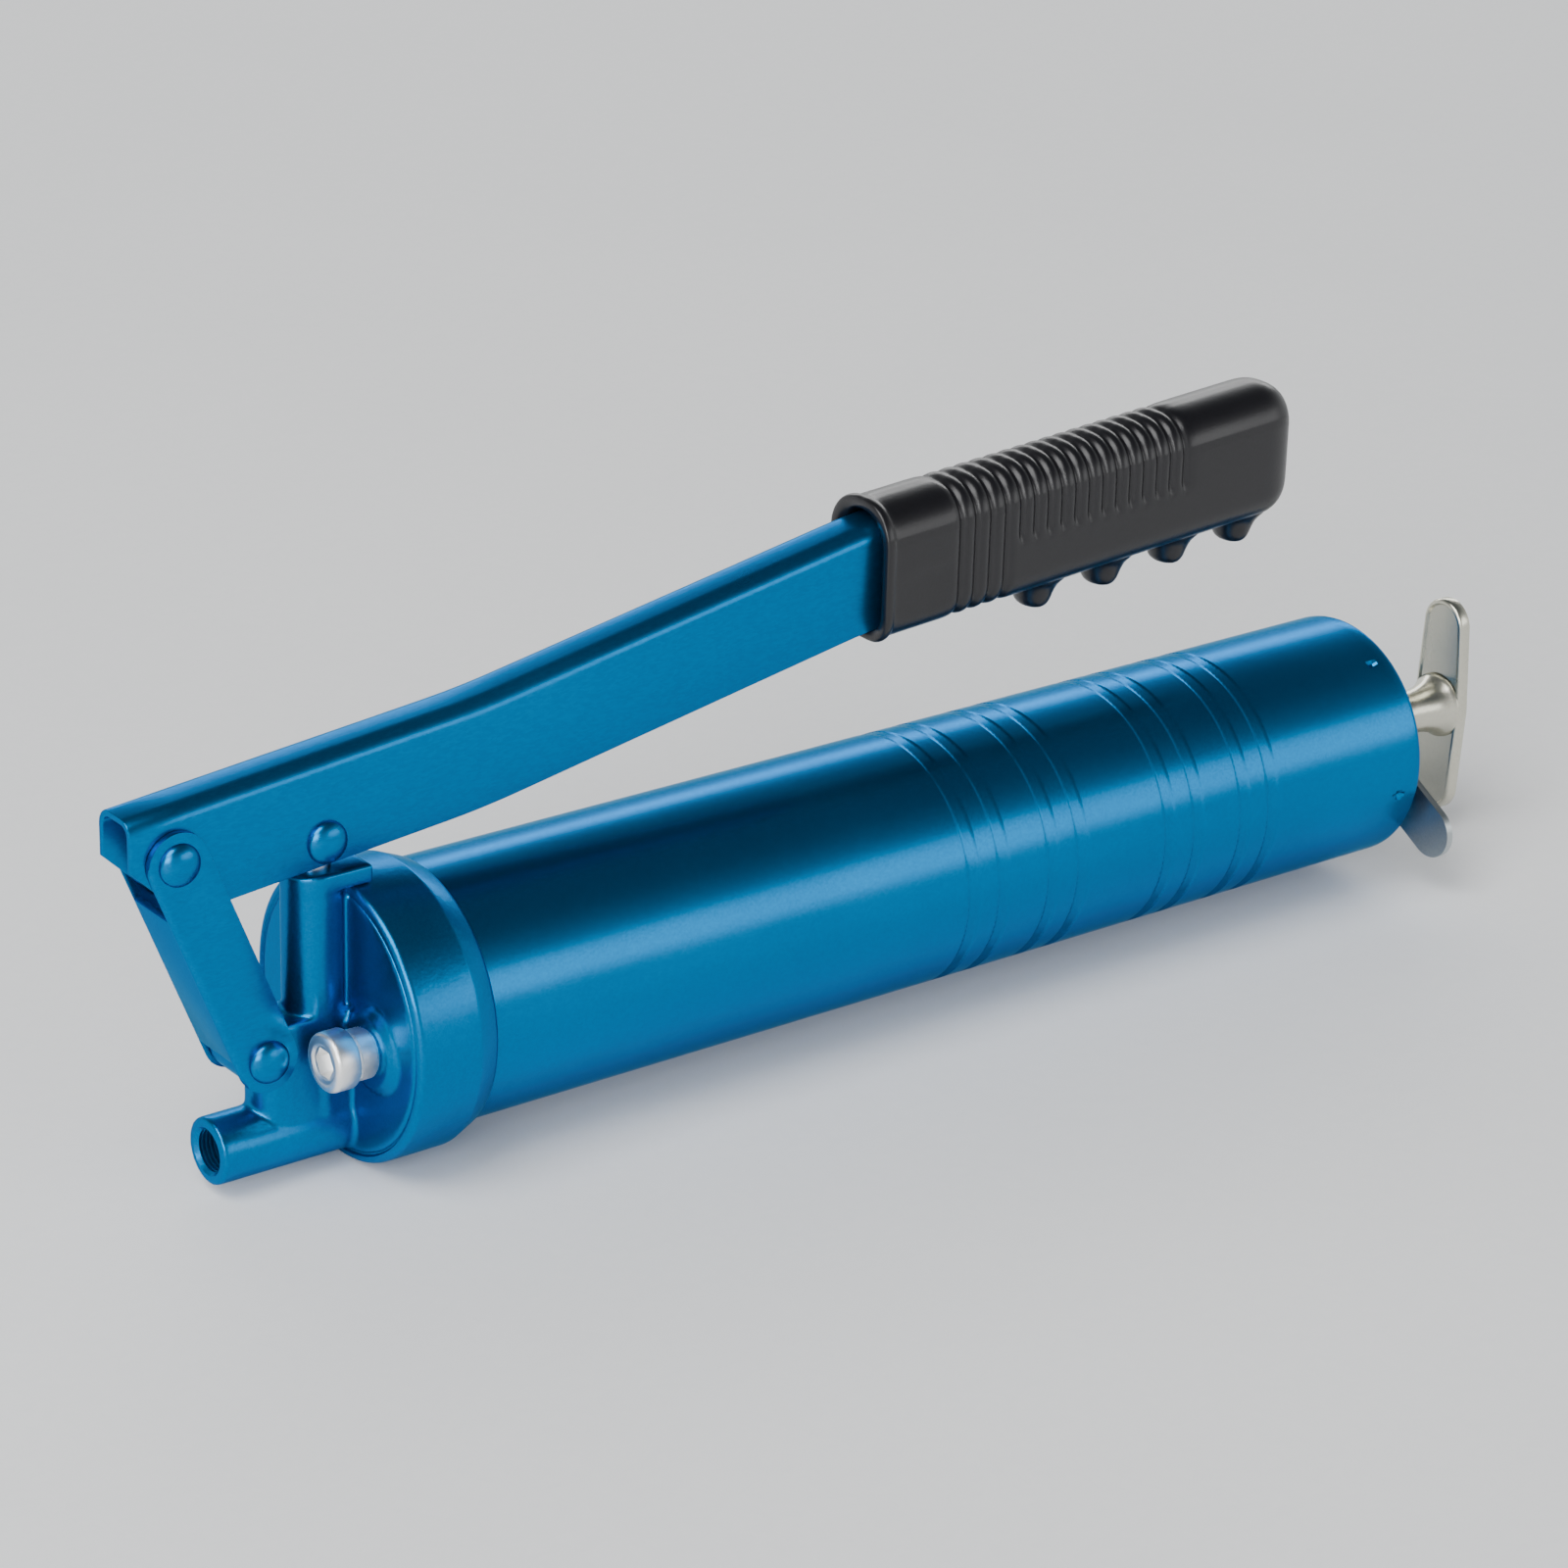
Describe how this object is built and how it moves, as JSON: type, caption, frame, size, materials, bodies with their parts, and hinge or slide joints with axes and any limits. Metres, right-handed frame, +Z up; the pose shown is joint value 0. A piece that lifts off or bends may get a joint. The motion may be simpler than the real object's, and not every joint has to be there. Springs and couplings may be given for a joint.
{
  "type": "grease gun",
  "caption": "Lever grease gun: cast pump head with outlet spout and filler valve, steel barrel, linked pump lever with moulded grip, and a spring follower with pull handle.",
  "frame": {"origin": "centre of the outlet mouth", "axes": "+X leaves the outlet, parallel to the barrel; +Z up, towards the lever; +Y is the filler valve's side"},
  "size_m": [0.3668, 0.067, 0.1264],
  "materials": {
    "blue_paint_barrel": "smooth metallic blue enamel",
    "blue_paint_casting": "metallic blue enamel over a cast surface",
    "blue_paint_sheet": "metallic blue enamel on pressed sheet",
    "black_grip": "semi-gloss moulded rubber",
    "black_rubber": "matte",
    "ground_steel": "ground",
    "polished_steel": "bright plated",
    "nickel_valve": "satin",
    "zinc_steel": "zinc plated",
    "spring_wire": "drawn wire",
    "white_nylon": "moulded"
  },
  "bodies": {
    "head_and_barrel": {"pump_head": "blue_paint_casting", "barrel_tube": "blue_paint_barrel", "barrel_seal": "black_rubber", "plunger_packing": "black_rubber", "outlet_spring_ring": "zinc_steel", "outlet_check_spring": "spring_wire", "filler_valve_body": "nickel_valve", "filler_spring_clip": "zinc_steel", "filler_spring": "spring_wire", "rear_cap": "blue_paint_barrel", "rod_guide_bush": "white_nylon", "lock_spring": "spring_wire", "follower_spring": "spring_wire"},
    "link": {"fulcrum_link": "blue_paint_sheet", "lower_pivot_rivet": "blue_paint_sheet", "front_pivot_rivet": "blue_paint_sheet"},
    "lever": {"lever_channel": "blue_paint_sheet", "lever_grip": "black_grip", "plunger_rivet": "blue_paint_sheet"},
    "plunger": {"plunger": "ground_steel"},
    "follower": {"follower_rod": "ground_steel", "pull_handle": "polished_steel", "handle_ferrule": "polished_steel", "follower_front_plate": "zinc_steel", "follower_cup": "black_rubber", "follower_back_plate": "zinc_steel", "follower_nut": "zinc_steel"},
    "lock_plate": {"rod_lock_plate": "zinc_steel"},
    "outlet_ball": {"outlet_check_ball": "ground_steel"},
    "filler_ball": {"filler_ball": "ground_steel"}
  },
  "joints": [
    {"name": "link_swing", "type": "hinge", "parent": "head_and_barrel", "child": "link", "pos_m": [-0.0105, 0, 0.0208], "axis": [0, 1, 0], "range_deg": [-3.5, 0]},
    {"name": "lever_pump", "type": "hinge", "parent": "link", "child": "lever", "pos_m": [0.0093, 0, 0.0694], "axis": [0, 1, 0], "range_deg": [0, 38]},
    {"name": "plunger_slide", "type": "slide", "parent": "head_and_barrel", "child": "plunger", "axis": [0, 0, 1], "range_m": [0, 0.0225]},
    {"name": "follower_pull", "type": "slide", "parent": "head_and_barrel", "child": "follower", "axis": [-1, 0, 0], "range_m": [0, 0.2], "stiffness_N_per_m": 150, "springref_m": -0.02, "deforming": ["follower_spring"]},
    {"name": "lock_plate_tilt", "type": "hinge", "parent": "head_and_barrel", "child": "lock_plate", "pos_m": [-0.31675, -0.00831, 0.02701], "axis": [0, 0.4848, 0.8746], "range_deg": [0, 4], "stiffness_Nm_per_rad": 0.05, "deforming": ["lock_spring"]},
    {"name": "outlet_ball_lift", "type": "slide", "parent": "head_and_barrel", "child": "outlet_ball", "axis": [1, 0, 0], "range_m": [0, 0.0012], "stiffness_N_per_m": 100, "deforming": ["outlet_check_spring"]},
    {"name": "filler_ball_lift", "type": "slide", "parent": "head_and_barrel", "child": "filler_ball", "axis": [-1, 0, 0], "range_m": [0, 0.001], "stiffness_N_per_m": 100, "deforming": ["filler_spring"]}
  ],
  "couplings": [
    {"joint": "link_swing", "follows": "lever_pump", "ratio": -0.086},
    {"joint": "plunger_slide", "follows": "lever_pump", "m_per_rad": 0.03327}
  ]
}
